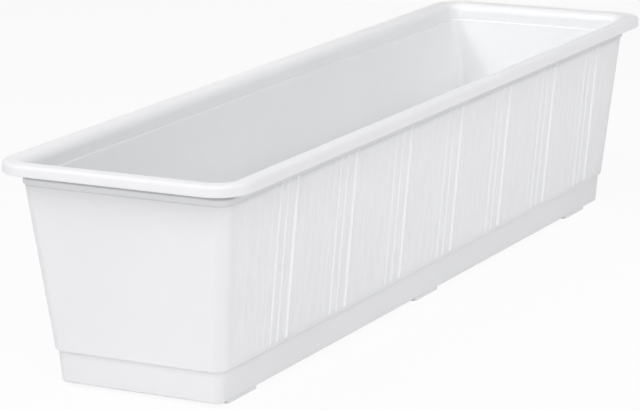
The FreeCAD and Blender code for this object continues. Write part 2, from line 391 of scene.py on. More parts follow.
@dataclass
class Beads:
    """Upright half-round mouldings in groups on both long walls.

    Attributes:
        pitch: Group to group.
        groups: Number of groups on each wall.
        shift: How far the row of groups stands towards +X.
        places: Bead centres within a group.
        half_widths: Half width of each bead of a group.
        rises: How far each bead stands out.
        foot: Level of the beads' lower ends.
    """

    pitch: float = 98.1
    groups: int = 7
    shift: float = 5.0
    places: tuple[float, ...] = (-18.0, -7.5, 4.0, 18.0)
    half_widths: tuple[float, ...] = (1.5, 1.9, 1.9, 2.3)
    rises: tuple[float, ...] = (0.45, 1.0, 0.95, 1.6)
    foot: float = 31.8

    def centres(self) -> np.ndarray:
        """Middle of every bead along X, group by group."""
        middles = (np.arange(self.groups) - (self.groups - 1) / 2) * self.pitch + self.shift
        return (middles[:, None] + np.asarray(self.places)).reshape(-1)

    def columns(self) -> np.ndarray:
        """X places that draw every bead: seven evenly across it, and one flat guard each side.

        Returns:
            Sorted places along X.
        """
        half = np.tile(self.half_widths, self.groups)
        inner = self.centres()[:, None] + half[:, None] * np.linspace(-1, 1, 7)
        guards = self.centres()[:, None] + (half[:, None] + 0.3) * np.array([-1.0, 1.0])
        return np.sort(np.concatenate([inner.reshape(-1), guards.reshape(-1)]))

    def rise_at(self, x: np.ndarray, level: np.ndarray) -> np.ndarray:
        """Height of the beads above the wall.

        Across a bead it is the full rise times the squared cosine of a quarter turn at the
        bead's edge. Towards the foot it falls away as a quarter circle over one half width.

        Args:
            x: Places along the wall.
            level: Heights of those places.

        Returns:
            The rise at each place.
        """
        half = np.tile(self.half_widths, self.groups)
        rise = np.tile(self.rises, self.groups)
        away = np.minimum(np.abs(x[..., None] - self.centres()) / half, 1)
        along = np.clip((self.foot + half - level[..., None]) / half, 0, 1)
        fade = np.sqrt(np.maximum(1 - along**2, 0))
        return (rise * np.cos(away * np.pi / 2) ** 2 * fade).max(axis=-1)


@dataclass
class Trough:
    """Trough with its rolled rim, collar, beads, skirt, floor, drain seats and ribs.

    Levels and insets give the section. The rest are the sizes of what it carries, and these
    set its marks:

    Attributes:
        recess: How far the painted shade reaches down from a corner.
        lip_shade: Level at which the painted shade under the lip is whole.
        foot_shade: Strength of the painted shade under the collar's foot.
        shade_depth: Depth below the rim's top above which there is no painted shade.
        crest_rise: Rise at which a bead counts as all crest.
        grain_edge: Stretch beside a corner over which the grain fades.
        grain_start: Gap, and then stretch, over which the grain fades in above the skirt.
        grain_end: Gap, and then stretch, over which it fades out under the collar.
    """

    outline: Outline = field(default_factory=Outline)
    beads: Beads = field(default_factory=Beads)
    height: float = 180.7
    wall: float = 2.0
    corner_radius: float = 11.0
    overhang: float = 15.4
    lip_drop: float = 9.1
    lip_thickness: float = 2.0
    lip_flare: float = 0.4
    outer_round: float = 3.5
    inner_round: float = 8.0
    collar_foot: float = 161.8
    collar_step: float = 1.5
    foot_round: float = 0.7
    recess: float = 1.6
    lip_shade: float = 167.1
    foot_shade: float = 0.5
    shade_depth: float = 4.0
    crest_rise: float = 0.5
    grain_edge: float = 14.0
    grain_start: float = 3.0
    grain_end: float = 2.0
    end_gap: float = 6.0
    end_columns: int = 5
    turn_columns: int = 13
    ledge: float = 164.8
    skirt: float = 29.3
    draft: float = 0.1028
    underside: float = 35.0
    floor_thickness: float = 2.0
    floor_round: float = 5.0
    margin: float = 45.0
    drain_spacing: tuple[float, float] = (245.0, 76.0)
    seat_radius: float = 11.0
    seat_depth: float = 1.0
    bore_radius: float = 6.0
    boss_radius: float = 12.5
    boss_drop: float = 3.5
    pillar_radius: float = 10.0
    socket_clearance: float = 0.5
    socket_wall: float = 2.2
    socket_drop: float = 4.0
    rib_thickness: float = 1.6
    rib_drop: float = 3.0
    rib_row: float = 22.0
    rib_count: int = 9
    rib_gap: float = 5.0

    def wall_inset(self, level: float) -> float:
        """Inset of the outer wall at a level: the skirt's inset less the draft times the rise."""
        at_skirt = self.overhang + self.collar_step + self.draft * (self.collar_foot - self.skirt)
        return at_skirt - self.draft * (level - self.skirt)

    def section(self) -> np.ndarray:
        """Closed section of the walls, collar, rolled lip and floor margin.

        Returns:
            Rows of inset, level and plan radius, from the floor's underside round the outside.
        """
        floor = self.underside + self.floor_thickness
        under = self.height - self.lip_thickness
        lip = self.height - self.lip_drop
        outer, inner = self.corner_radius, self.corner_radius - self.wall
        inside_collar = self.overhang + self.wall

        def rim(inset: float) -> float:
            """Corner radius of the rim's outline at an inset."""
            return self.outline.rim_radius - inset

        corners = np.array([
            (self.margin, self.underside, 0.0, 0.0),
            (self.wall_inset(self.underside) + self.wall, self.underside, inner, 0.8),
            (self.wall_inset(self.skirt) + self.wall, self.skirt, inner, 0.5),
            (self.wall_inset(self.skirt), self.skirt, outer, 0.7),
            (self.overhang + self.collar_step, self.collar_foot, outer, 0.4),
            (self.overhang, self.collar_foot, rim(self.overhang), self.foot_round),
            (self.overhang, under, rim(self.overhang), 6.0),
            (self.lip_thickness + self.lip_flare, under, rim(self.lip_thickness), 1.5),
            (self.lip_thickness, lip, rim(self.lip_thickness), 0.6),
            (0.0, lip, rim(0.0), 0.9),
            (self.lip_flare, self.height, rim(self.lip_flare), self.outer_round),
            (inside_collar, self.height, rim(inside_collar), self.inner_round),
            (inside_collar, self.ledge, rim(inside_collar), 0.35),
            (self.wall_inset(self.ledge) + self.wall, self.ledge, inner, 0.45),
            (self.wall_inset(floor) + self.wall, floor, inner, self.floor_round),
            (self.margin, floor, 0.0, 0.0),
        ])
        return Profile(corners).softened()

    def walls(self) -> Surface:
        """Carry the section round the plan, with the beads raised on the long walls.

        A long side's column stands at a set X, or at a share of the flat stretch beyond the
        last bead; an end's column stands at a share of the flat stretch along Y.

        Returns:
            The closed ring.
        """
        section = self.section()
        rows = self.with_wall_rows(section)
        inset, level, radius = rows.T
        half_x, half_y = self.outline.half(inset)
        flat_x, flat_y = half_x - radius, half_y - radius
        columns = self.beads.columns()
        reach = np.abs(columns).max() + self.end_gap
        beyond = np.linspace(0, 1, self.end_columns)
        share = np.concatenate([-beyond[::-1], np.zeros(len(columns)), beyond])
        outermost = np.full(self.end_columns, reach)
        anchor = np.concatenate([-outermost, columns, outermost])
        sign = np.sign(anchor)
        long_x = anchor + np.abs(share) * sign * (flat_x[:, None] - reach)
        on_wall = self.on_outer_wall(rows)
        rise = self.beads.rise_at(long_x, np.broadcast_to(level[:, None], long_x.shape)) * on_wall[:, None]
        collar_y = self.outline.half(self.overhang)[1]
        face_y = np.minimum(half_y[:, None] + rise, np.maximum(half_y, collar_y)[:, None])
        flat = np.clip((flat_x[:, None] - np.abs(long_x)) / self.grain_edge, 0, 1)
        grain_long = on_wall[:, None] * flat * self.grain_fade(level)[:, None]
        angle = np.linspace(0, np.pi / 2, self.turn_columns + 2)[1:-1]
        across = np.linspace(-1, 1, self.turn_columns)

        def corner(side_x: int, side_y: int, turn: float) -> np.ndarray:
            """Quarter turn at one corner.

            Args:
                side_x: Sign of the corner's X.
                side_y: Sign of the corner's Y.
                turn: Angle at which the turn starts.

            Returns:
                Rows by columns by X, Y.
            """
            swing = turn + angle
            return np.stack([
                side_x * flat_x[:, None] + radius[:, None] * np.cos(swing),
                side_y * flat_y[:, None] + radius[:, None] * np.sin(swing),
            ], axis=-1)

        front = np.stack([long_x, -face_y], axis=-1)
        back = np.stack([long_x[:, ::-1], face_y[:, ::-1]], axis=-1)
        far_end = np.stack([
            np.broadcast_to((flat_x + radius)[:, None], (len(level), len(across))),
            flat_y[:, None] * across,
        ], axis=-1)
        near_end = far_end * np.array([-1.0, -1.0])
        plan = np.concatenate([
            front, corner(1, -1, -np.pi / 2), far_end, corner(1, 1, 0.0),
            back, corner(-1, 1, np.pi / 2), near_end, corner(-1, -1, np.pi),
        ], axis=1)
        # The crest mark sets the painted highlight and the polish on the beads' crests.
        crest_long = np.clip(rise / self.crest_rise, 0, 1)
        marks_long = np.stack([grain_long, crest_long, np.zeros(rise.shape)], axis=-1)
        marks_end = np.zeros((len(level), len(across) + 2 * len(angle), len(MARKS)))
        marks = np.concatenate([marks_long, marks_end, marks_long[:, ::-1], marks_end], axis=1)
        crest, recess = MARKS.index("crest"), MARKS.index("recess")
        # Painted shade: the recess mark darkens the colour under the lip and under the collar's foot, but not
        # on the beads' crests.
        marks[..., recess] = self.painted_shade_at(rows)[:, None] * (1 - marks[..., crest])
        heights = np.broadcast_to(level[:, None, None], plan.shape[:2] + (1,))
        grid = np.concatenate([plan, heights], axis=2)
        return Surface.from_grid(grid, wrap_rows=True, wrap_columns=True, marks=marks)

    def on_outer_wall(self, rows: np.ndarray) -> np.ndarray:
        """Tell which rows lie on the leaning outer wall or the round of the collar's foot.

        Args:
            rows: Rows of inset, level and plan radius.

        Returns:
            1 or 0 for each row.
        """
        expected = self.wall_inset(0.0) - self.draft * rows[:, 1]
        near = np.abs(rows[:, 0] - expected) < self.collar_step + 0.1
        top = self.collar_foot + self.foot_round + 0.05
        return (near & (rows[:, 1] > self.skirt + 0.2) & (rows[:, 1] <= top)).astype(float)

    def painted_shade_at(self, rows: np.ndarray) -> np.ndarray:
        """Tell how deep a row lies under the lip or under the collar's foot, from 0 to 1: the strength of the
        painted shade there.

        Args:
            rows: Rows of inset, level and plan radius.

        Returns:
            The depth, and so the painted shade, of each row: full in the corner, nothing one recess below it.
        """
        inset, level = rows[:, 0], rows[:, 1]
        under_rim = (level > self.collar_foot + 0.5) & (level < self.height - self.shade_depth)
        on_collar = (np.abs(inset - self.overhang) < 0.5) & under_rim
        under_lip = np.clip((level - (self.lip_shade - self.recess)) / self.recess, 0, 1) * on_collar
        on_wall = self.on_outer_wall(rows) * (level < self.collar_foot + 0.01)
        under_foot = np.clip(1 - (self.collar_foot - level) / self.recess, 0, 1) * on_wall
        return np.maximum(under_lip, self.foot_shade * under_foot)

    def grain_fade(self, level: np.ndarray) -> np.ndarray:
        """Let the grain fade over a few millimetres at the skirt and under the collar.

        Args:
            level: Heights on the wall.

        Returns:
            Strength of the grain at each, from 0 to 1.
        """
        low = np.clip((level - self.skirt - self.grain_start) / self.grain_start, 0, 1)
        high = np.clip((self.collar_foot - self.grain_end - level) / self.grain_end, 0, 1)
        return low * high

    def with_wall_rows(self, section: np.ndarray) -> np.ndarray:
        """Add rows where the beads end, so that their feet are round, and where the painted shade of a recess
        fades.

        Rows on the leaning wall take their inset from their level; rows on the collar share its inset.

        Args:
            section: Rows of inset, level and plan radius.

        Returns:
            The section with the extra rows in place.
        """
        on_wall = self.on_outer_wall(section) > 0
        top_of_foot = int(np.flatnonzero(on_wall & (section[:, 1] < self.beads.foot)).max())
        foot = np.linspace(self.beads.foot - 0.2, self.beads.foot + 2.8, 13)
        levels = np.concatenate([foot, np.linspace(40.0, self.collar_foot - 4.0, 8)])
        fading = np.linspace(self.collar_foot - self.recess, self.collar_foot - 0.5, 4)
        extra, below = (
            np.stack([
                self.wall_inset(0.0) - self.draft * places, places, np.full(len(places), self.corner_radius),
            ], axis=1)
            for places in (levels, fading)
        )
        on_collar = (np.abs(section[:, 0] - self.overhang) < 1e-6) & (section[:, 1] < self.lip_shade)
        top_of_collar = int(np.flatnonzero(on_collar).max())
        shaded = np.linspace(self.lip_shade - self.recess, self.lip_shade, 4)
        beside = np.stack([
            np.full(len(shaded), self.overhang), shaded,
            np.full(len(shaded), self.outline.rim_radius - self.overhang),
        ], axis=1)
        below_recess = section[:, 1] < self.collar_foot - self.recess - 0.01
        last_of_wall = int(np.flatnonzero(on_wall & below_recess).max())
        return np.concatenate([
            section[: top_of_foot + 1], extra, section[top_of_foot + 1 : last_of_wall + 1], below,
            section[last_of_wall + 1 : top_of_collar + 1], beside, section[top_of_collar + 1 :],
        ])

    def drain_places(self) -> list[tuple[float, float]]:
        """Middles of the six drain holes."""
        step_x, step_y = self.drain_spacing
        return [(column * step_x, row * step_y) for column in (-1, 0, 1) for row in (-0.5, 0.5)]

    def floor(self) -> Surface:
        """Floor plate with a seat, a bore and a boss at each drain.

        Returns:
            The closed plate.
        """
        top = self.underside + self.floor_thickness
        plate = Plate(*self.outline.half(self.margin), self.underside, top, 15.0, self.drain_places())
        seat, low = top - self.seat_depth, self.underside - self.boss_drop
        size = np.array([
            15.0, self.seat_radius + 0.3, self.seat_radius, self.seat_radius, self.bore_radius + 0.3,
            self.bore_radius, self.bore_radius, self.bore_radius + 0.3, self.boss_radius - 0.3,
            self.boss_radius, self.boss_radius, self.boss_radius + 0.6, 15.0,
        ])
        level = np.array([
            top, top, top - 0.3, seat, seat, seat - 0.3, low + 0.3, low, low, low + 0.3,
            self.underside - 0.6, self.underside, self.underside,
        ])
        radius = size.copy()
        radius[[0, -1]] = 0.0
        cells = [Loops(size, size, radius, level, 10, place).skin() for place in self.drain_places()]
        return Surface.join([plate.skin()] + cells)

    def sockets(self, places: Sequence[tuple[float, float]]) -> Surface:
        """Rings under the floor that take the tray's pillars.

        Args:
            places: Where the pillars stand.

        Returns:
            The closed rings.
        """
        bore = self.pillar_radius + self.socket_clearance
        outside = bore + self.socket_wall
        low, high = self.underside - self.socket_drop, self.underside + 0.5
        size = [bore, bore, bore + 0.4, outside - 0.4, outside, outside]
        level = [high, low + 0.4, low, low, low + 0.4, high]
        rings = []
        for place in places:
            grid = Loops.turned(size, level, place, 10).grid()
            rings.append(Surface.from_grid(grid, wrap_rows=True, wrap_columns=True))
        return Surface.join(rings)

    def ribs(self) -> Surface:
        """Long ribs and cross ribs under the floor.

        Returns:
            The closed ribs.
        """
        inset = self.wall_inset(self.skirt) + self.wall + self.rib_gap
        reach_x, reach_y = self.outline.half(inset)
        low, high = self.underside - self.rib_drop, self.underside + 0.5
        return rib_grid(reach_x, self.rib_row, reach_y, low, high, self.rib_thickness, self.rib_count, 0.5)

    def build(self, pillars: Sequence[tuple[float, float]]) -> list[bpy.types.Object]:
        """Make the trough's pieces.

        Args:
            pillars: Where the tray's pillars stand.

        Returns:
            The trough's moulding and its floor.
        """
        shell = self.walls().to_object("trough_moulding", 50.0)
        floor = Surface.join([self.floor(), self.sockets(pillars), self.ribs()]).to_object("trough_floor")
        return [shell, floor]


@dataclass
class Tray:
    """Drip tray with its leaning wall, upright edge, feet, pillars and ribs."""

    outline: Outline = field(default_factory=Outline)
    top_inset: float = 32.821
    skirt: float = 29.3
    edge_relief: float = 0.2
    edge_wall: float = 1.6
    rest: float = 35.0
    wall: float = 2.0
    draft: float = 0.0936
    radius: float = 8.7
    foot_height: float = 2.8
    floor_thickness: float = 2.0
    bottom_round: float = 2.2
    margin: float = 45.0
    foot_size: tuple[float, float] = (45.0, 14.0)
    foot_round: float = 3.0
    foot_inset: float = 1.2
    foot_gaps: tuple[float, float] = (14.0, 30.0)
    pillar_count: int = 4
    pillar_end_gap: float = 73.0
    pillar_radius: float = 10.0
    pillar_wall: float = 2.0
    rib_thickness: float = 1.8
    rib_height: float = 2.5
    rib_row: float = 32.0
    rib_end_gap: float = 12.0
    rib_count: int = 8

    def bottom_inset(self) -> float:
        """Inset of the tray's lower edge: its top inset plus the draft times its height."""
        return self.top_inset + self.draft * (self.skirt - self.foot_height)

    def pillar_places(self) -> list[tuple[float, float]]:
        """Middles of the pillars, evenly spaced along the tray."""
        reach = self.outline.length / 2 - self.top_inset - self.wall - self.pillar_end_gap
        return [(float(x), 0.0) for x in np.linspace(-reach, reach, self.pillar_count)]

    def ring(self) -> Surface:
        """Carry the tray's section round its plan.

        Returns:
            The closed ring of wall, upright edge and floor margin.
        """
        floor = self.foot_height + self.floor_thickness
        axis = self.top_inset + self.radius
        edge = self.top_inset + self.edge_relief
        inner = self.bottom_inset() - self.draft * self.floor_thickness + self.wall
        corners = np.array([
            (self.margin, floor, 0.0, 0.0),
            (inner, floor, axis - inner, 1.5),
            (edge + self.edge_wall, self.skirt, axis - edge - self.edge_wall, 3.0),
            (edge + self.edge_wall, self.rest, axis - edge - self.edge_wall, 0.4),
            (edge, self.rest, axis - edge, 0.4),
            (edge, self.skirt, axis - edge, 0.1),
            (self.top_inset, self.skirt, self.radius, 0.1),
            (self.bottom_inset(), self.foot_height, axis - self.bottom_inset(), self.bottom_round),
            (self.margin, self.foot_height, 0.0, 0.0),
        ])
        inset, level, radius = Profile(corners).softened().T
        loops = Loops(*self.outline.half(inset), radius, level, 10)
        return Surface.from_grid(loops.grid(), wrap_rows=True, wrap_columns=True)

    def floor(self) -> Surface:
        """Floor plate with hollow pillars that are open below.

        Returns:
            The closed plate.
        """
        top = self.foot_height + self.floor_thickness
        places = self.pillar_places()
        plate = Plate(*self.outline.half(self.margin), self.foot_height, top, 15.0, places)
        around = self.pillar_radius
        size = np.array([15.0, around + 1.0, around + 0.3, around, around, around - 0.5, 0.0])
        level = np.array([top, top, top + 0.4, top + 1.2, self.rest - 0.5, self.rest, self.rest])
        core = self.pillar_radius - self.pillar_wall
        core_size = np.array([15.0, core + 0.4, core, core, 0.0])
        core_level = np.array([
            self.foot_height, self.foot_height, self.foot_height + 0.4,
            self.rest - self.pillar_wall, self.rest - self.pillar_wall,
        ])
        skins = [plate.skin()]
        for place in places:
            for across, heights in ((size, level), (core_size, core_level)):
                radius = across.copy()
                radius[0] = 0.0
                skins.append(Loops(across, across, radius, heights, 10, place).skin())
        return Surface.join(skins)

    def feet(self) -> Surface:
        """Six low pads under the long sides.

        Returns:
            The closed pads.
        """
        half_x, half_y = self.outline.half(self.bottom_inset())
        long, wide = self.foot_size
        first = -half_x + self.foot_gaps[0] + long / 2
        last = half_x - self.foot_gaps[1] - long / 2
        centre_y = half_y - self.foot_inset - wide / 2
        pads = []
        for x in np.linspace(first, last, 3):
            for y in (-centre_y, centre_y):
                low = (x - long / 2, y - wide / 2, 0.0)
                high = (x + long / 2, y + wide / 2, self.foot_height + 1.0)
                pads.append(rounded_block(low, high, self.foot_round, 0.5))
        return Surface.join(pads)

    def ribs(self) -> Surface:
        """Low ribs on the tray's floor.

        Returns:
            The closed ribs.
        """
        reach = self.outline.length / 2 - self.bottom_inset() - self.wall - self.rib_end_gap
        low = self.foot_height + self.floor_thickness - 0.5
        high = low + 0.5 + self.rib_height
        row = self.rib_row
        return rib_grid(reach, row, row, low, high, self.rib_thickness, self.rib_count, 0.6)

    def build(self) -> list[bpy.types.Object]:
        """Make the tray's pieces.

        Returns:
            The tray's moulding, and its floor with feet and ribs.
        """
        ring = self.ring().to_object("tray_moulding", 50.0)
        floor = Surface.join([self.floor(), self.feet(), self.ribs()]).to_object("tray_floor")
        return [ring, floor]


@dataclass
class Plug:
    """Push-in drain plug: flange, stem and finger grip."""

    seat: float = 36.0
    flange_radius: float = 9.5
    flange_thickness: float = 1.5
    stem_radius: float = 5.92
    stem_low: float = 30.0
    grip: tuple[float, float, float] = (11.0, 2.4, 7.5)
    grip_round: float = 4.0

    def build(self, name: str, place: tuple[float, float]) -> bpy.types.Object:
        """Make one plug at its drain.

        The turned body is a run of circles. The grip is a stack of loops whose half length
        shrinks near the top as a circle of the grip's rounding.

        Args:
            name: Name of the piece.
            place: Middle of the drain.

        Returns:
            The plug.
        """
        top = self.seat + self.flange_thickness
        body = Loops.turned(
            [0.0, self.stem_radius - 0.8, self.stem_radius, self.stem_radius, self.flange_radius - 0.2,
             self.flange_radius, self.flange_radius, self.flange_radius - 0.2, self.flange_radius - 0.6, 0.0],
            [self.stem_low, self.stem_low, self.stem_low + 1.0, self.seat, self.seat,
             self.seat + 0.2, top - 0.6, top - 0.2, top, top],
            place, 12).skin()
        long, thick, rise = self.grip
        crown = np.sin(np.linspace(0, np.pi / 2, 9)) * self.grip_round
        level = np.concatenate([[top - 0.4, top - 0.4], top + rise - self.grip_round + crown, [top + rise]])
        shrink = self.grip_round - np.sqrt(self.grip_round**2 - crown**2)
        half_x = long / 2 - np.concatenate([[long / 2, 0.0], shrink, [long / 2]])
        edge = np.clip(1 - (top + rise - level) / 0.5, 0, 1)
        half_y = thick / 2 - np.concatenate([[thick / 2, 0.0], 0.5 * edge[2:-1] ** 2, [thick / 2]])
        radius = np.concatenate([[0.0], np.full(len(level) - 2, 0.5), [0.0]])
        grip = Loops(half_x, half_y, radius, level, 4, place).skin()
        return Surface.join([body, grip]).to_object(name, 50.0)


# ---------------------------------------------------------------- finishes


class Channel:
    """Output of a shader node that can be used in sums and products."""

    def __init__(self, board: "Board", socket: bpy.types.NodeSocket | None) -> None:
        """Hold a socket and the board that it belongs to."""
        self.board = board
        self.socket = socket

    def combine(self, operation: str, first: Any, second: Any) -> "Channel":
        """Join two values with a math node, or with a vector math node where either is a vector.

        Args:
            operation: Name of the node's operation.
            first: First value.
            second: Second value.

        Returns:
            The result.
        """
        flat = all(
            isinstance(value, (int, float)) or (isinstance(value, Channel) and value.socket.type == "VALUE")
            for value in (first, second)
        )
        kind = "ShaderNodeMath" if flat else "ShaderNodeVectorMath"
        return self.board.add(kind, {"operation": operation}, {0: first, 1: second})

    def __add__(self, other: Any) -> "Channel":
        """Sum."""
        return self.combine("ADD", self, other)

    def __radd__(self, other: Any) -> "Channel":
        """Sum with the plain value first."""
        return self.combine("ADD", other, self)

    def __sub__(self, other: Any) -> "Channel":
        """Difference."""
        return self.combine("SUBTRACT", self, other)

    def __rsub__(self, other: Any) -> "Channel":
        """Difference with the plain value first."""
        return self.combine("SUBTRACT", other, self)

    def __mul__(self, other: Any) -> "Channel":
        """Product."""
        return self.combine("MULTIPLY", self, other)

    def __rmul__(self, other: Any) -> "Channel":
        """Product with the plain value first."""
        return self.combine("MULTIPLY", other, self)

    def smooth(self, low: float, high: float) -> "Channel":
        """Ease from 0 at the low value to 1 at the high value.

        Args:
            low: Value that gives 0.
            high: Value that gives 1.

        Returns:
            The eased value.
        """
        settings = {"interpolation_type": "SMOOTHSTEP"}
        return self.board.add("ShaderNodeMapRange", settings, {0: self, 1: low, 2: high, 3: 0.0, 4: 1.0})


class Board:
    """Node tree of one material or of the world."""

    def __init__(self, owner: bpy.types.Material | bpy.types.World) -> None:
        """Start the owner's tree afresh.

        Args:
            owner: Material or world that the tree belongs to.
        """
        self.owner = owner
        self.owner.use_nodes = True
        self.tree = self.owner.node_tree
        self.tree.nodes.clear()

    def add(
        self, kind: str, settings: dict[str, Any] | None = None,
        values: dict[str | int, Any] | None = None, output: str | int = 0,
    ) -> Channel:
        """Add a node, set its options first and then its sockets.

        Args:
            kind: Type of the node.
            settings: Options of the node.
            values: Value or channel for each socket.
            output: Which output to return.

        Returns:
            The chosen output.
        """
        node = self.tree.nodes.new(kind)
        for key, value in (settings or {}).items():
            setattr(node, key, value)
        for key, value in (values or {}).items():
            if isinstance(value, Channel):
                self.tree.links.new(value.socket, node.inputs[key])
            else:
                node.inputs[key].default_value = value
        return Channel(self, node.outputs[output] if node.outputs else None)

    def blend(self, share: Any, first: Any, second: Any) -> Channel:
        """Mix two colours.

        Args:
            share: How much of the second colour shows.
            first: First colour.
            second: Second colour.

        Returns:
            The mixed colour.
        """
        return self.add("ShaderNodeMix", {"data_type": "RGBA"}, {0: share, 6: first, 7: second}, 2)

    def noise(self, place: Channel, scale: float, detail: float = 2.0, roughness: float = 0.5) -> Channel:
        """Smooth noise from 0 to 1.

        Args:
            place: Where the noise is read.
            scale: Waves for each metre of the place.
            detail: Number of finer layers.
            roughness: Strength of the finer layers.

        Returns:
            The noise.
        """
        values = {"Vector": place, "Scale": scale, "Detail": detail, "Roughness": roughness}
        return self.add("ShaderNodeTexNoise", {"normalize": True}, values)

    def bump(self, height: Channel, depth: float, under: Channel | None = None) -> Channel:
        """Tilt the surface by a height.

        Args:
            height: Height from 0 to 1.
            depth: Rise in metres of a height of 1.
            under: Normal to start from.

        Returns:
            The tilted normal.
        """
        values: dict[str | int, Any] = {"Strength": 1.0, "Distance": depth, "Height": height}
        if under is not None:
            values["Normal"] = under
        return self.add("ShaderNodeBump", None, values)

    def seen(self) -> Channel:
        """Tell rays from the camera, and those by way of a mirror or glass, as 1, and all others as 0.

        Returns:
            The largest of the three kinds of ray.
        """
        rays = [
            self.add("ShaderNodeLightPath", output=kind)
            for kind in ("Is Camera Ray", "Is Glossy Ray", "Is Transmission Ray")
        ]
        return rays[0].combine("MAXIMUM", rays[0], rays[0].combine("MAXIMUM", rays[1], rays[2]))

    def finish(self, shader: Channel) -> bpy.types.Material | bpy.types.World:
        """Connect the shader to the output.

        Args:
            shader: The finished shader.

        Returns:
            The owner of the tree.
        """
        family = "World" if isinstance(self.owner, bpy.types.World) else "Material"
        self.add(f"ShaderNodeOutput{family}", None, {"Surface": shader})
        return self.owner


@dataclass(frozen=True)
class Plastic:
    """Moulded plastic with a faint flow tone, a fine skin and, where asked, an embossed grain.

    Attributes:
        name: Name of the material.
        colour: Base colour.
        roughness: Middle roughness.
        skin_depth: Rise of the fine skin, in metres.
        wave_depth: Rise of the long waves of the wall, in metres.
        tone: Share by which the flow tone darkens.
        grain_depth: Rise of the embossed grain, in metres.
        grain_hollow_painted_shade: Share by which the grain's hollows are painted darker, a painted shade in
            its grooves.
        grain_painted_light: Share by which the grain's ridges are painted paler than smooth plastic, a
            painted light for the light that the relief catches.
        grain_lean: Lean of the streaks, in degrees.
        grain_squeeze: Size of the noise along the streaks' length, as a share of its own.
        grain_scales: Waves for each metre of the broad and of the fine streaks.
        crest_painted_highlight: Share by which the beads' crests are painted paler than smooth plastic, a
            painted highlight.
        crest_polish: How much the roughness drops on the crests.
        recess_painted_shade: Share by which the painted shade in the recesses darkens.
    """

    name: str
    colour: tuple[float, float, float]
    roughness: float = 0.4
    skin_depth: float = 0.00002
    wave_depth: float = 0.0004
    tone: float = 0.02
    grain_depth: float = 0.0
    grain_hollow_painted_shade: float = 0.0
    grain_painted_light: float = 0.0
    grain_lean: float = 3.0
    grain_squeeze: float = 0.11
    grain_scales: tuple[float, float] = (150.0, 520.0)
    crest_painted_highlight: float = 0.09
    crest_polish: float = 0.12
    recess_painted_shade: float = 0.48

    def shade(self, share: float) -> tuple[float, float, float, float]:
        """Base colour made paler by a share, or darker by a negative one."""
        red, green, blue = (part * (1 + share) for part in self.colour)
        return (red, green, blue, 1.0)

    def grain(self, board: Board, place: Channel) -> Channel:
        """Fine upright streaks that lean a little: noise on a place squeezed along Z and sheared along X.

        Args:
            board: Board of the material.
            place: Object coordinates.

        Returns:
            Height of the grain from 0 to 1.
        """
        lean = board.add("ShaderNodeMapping", {"vector_type": "POINT"}, {
            "Vector": place, "Rotation": (0.0, math.radians(self.grain_lean), 0.0),
            "Scale": (1.0, 1.0, self.grain_squeeze),
        })
        broad = board.noise(lean, self.grain_scales[0], 3.0, 0.6)
        fine = board.noise(lean, self.grain_scales[1], 2.0, 0.5)
        return broad.smooth(0.36, 0.64) * 0.65 + fine.smooth(0.35, 0.65) * 0.35

    def material(self) -> bpy.types.Material:
        """Build the material.

        Returns:
            The material.
        """
        board = Board(bpy.data.materials.new(self.name))
        place = board.add("ShaderNodeTexCoord", output="Object")
        flow = board.noise(place, 9.0, 3.0).smooth(0.3, 0.7)
        skin = board.noise(place, 1400.0, 2.0)
        wave = board.noise(place, 14.0, 1.0)
        colour = board.blend(flow, self.shade(0.0), self.shade(-self.tone))
        rough = (skin - 0.5) * 0.10 + self.roughness
        normal = board.bump(wave, self.wave_depth)
        if self.grain_depth:
            wall, crest, recess = (
                board.add("ShaderNodeAttribute", {"attribute_name": mark}, output="Fac") for mark in MARKS
            )
            share = wall * (1 - crest)
            height = self.grain(board, place)
            # Painted light and shade: the grained wall is painted paler than smooth plastic and its hollows
            # darker, for the light its relief catches and the shade in its grooves.
            hollow = self.shade(self.grain_painted_light - self.grain_hollow_painted_shade)
            grained = board.blend(height, hollow, self.shade(self.grain_painted_light))
            colour = board.blend(share, colour, grained)
            # Painted highlight: the beads' crests are painted paler.
            colour = board.blend(crest, colour, self.shade(self.crest_painted_highlight))
            # Painted shade: the recesses under the lip and the collar's foot are painted darker.
            colour = board.blend(recess, colour, self.shade(-self.recess_painted_shade))
            rough = rough + height * share * 0.08 - crest * self.crest_polish
            normal = board.bump(height * share, self.grain_depth, normal)
        normal = board.bump(skin, self.skin_depth, normal)
        return board.finish(board.add("ShaderNodeBsdfPrincipled", None, {
            "Base Color": colour, "Roughness": rough, "Normal": normal, "IOR": 1.5,
        }))


class Finish(Enum):
    """Finishes of the moulded parts."""

    TROUGH = Plastic(
        "trough_white", (0.857, 0.875, 0.880), 0.42, grain_depth=0.0003, grain_hollow_painted_shade=0.04, grain_painted_light=0.066
    )
    TRAY = Plastic("tray_white", (0.853, 0.870, 0.876), 0.45)
    PLUG = Plastic("plug_white", (0.85, 0.86, 0.865), 0.5)

    def shared(self) -> bpy.types.Material:
        """The finish's one material, built when it is first asked for."""
        return bpy.data.materials.get(self.value.name) or self.value.material()


# ---------------------------------------------------------------- studio


@dataclass
class SoftLight:
    """Square area light that faces a point.

    Attributes:
        name: Name of the light.
        place: Where it hangs, in metres.
        aim: Point that it faces, in metres.
        side: Side of the square, in metres.
        power: Power in watts.
        spread: Angle that the light fans out over, in degrees.
        colour: Colour of the light.
    """

    name: str
    place: tuple[float, float, float]
    aim: tuple[float, float, float]
    side: float
    power: float
    spread: float = 180.0
    colour: tuple[float, float, float] = (1.0, 0.975, 0.985)

    def build(self) -> None:
        """Hang the light."""
        light = bpy.data.lights.new(self.name, "AREA")
        light.shape = "SQUARE"
        light.size = self.side
        light.energy = self.power
        light.spread = math.radians(self.spread)
        light.color = self.colour
        lamp = bpy.data.objects.new(self.name, light)
        lamp.location = self.place
        way = Vector(self.aim) - Vector(self.place)
        lamp.rotation_euler = way.to_track_quat("-Z", "Y").to_euler()
        lamp.visible_camera = False
        bpy.context.scene.collection.objects.link(lamp)


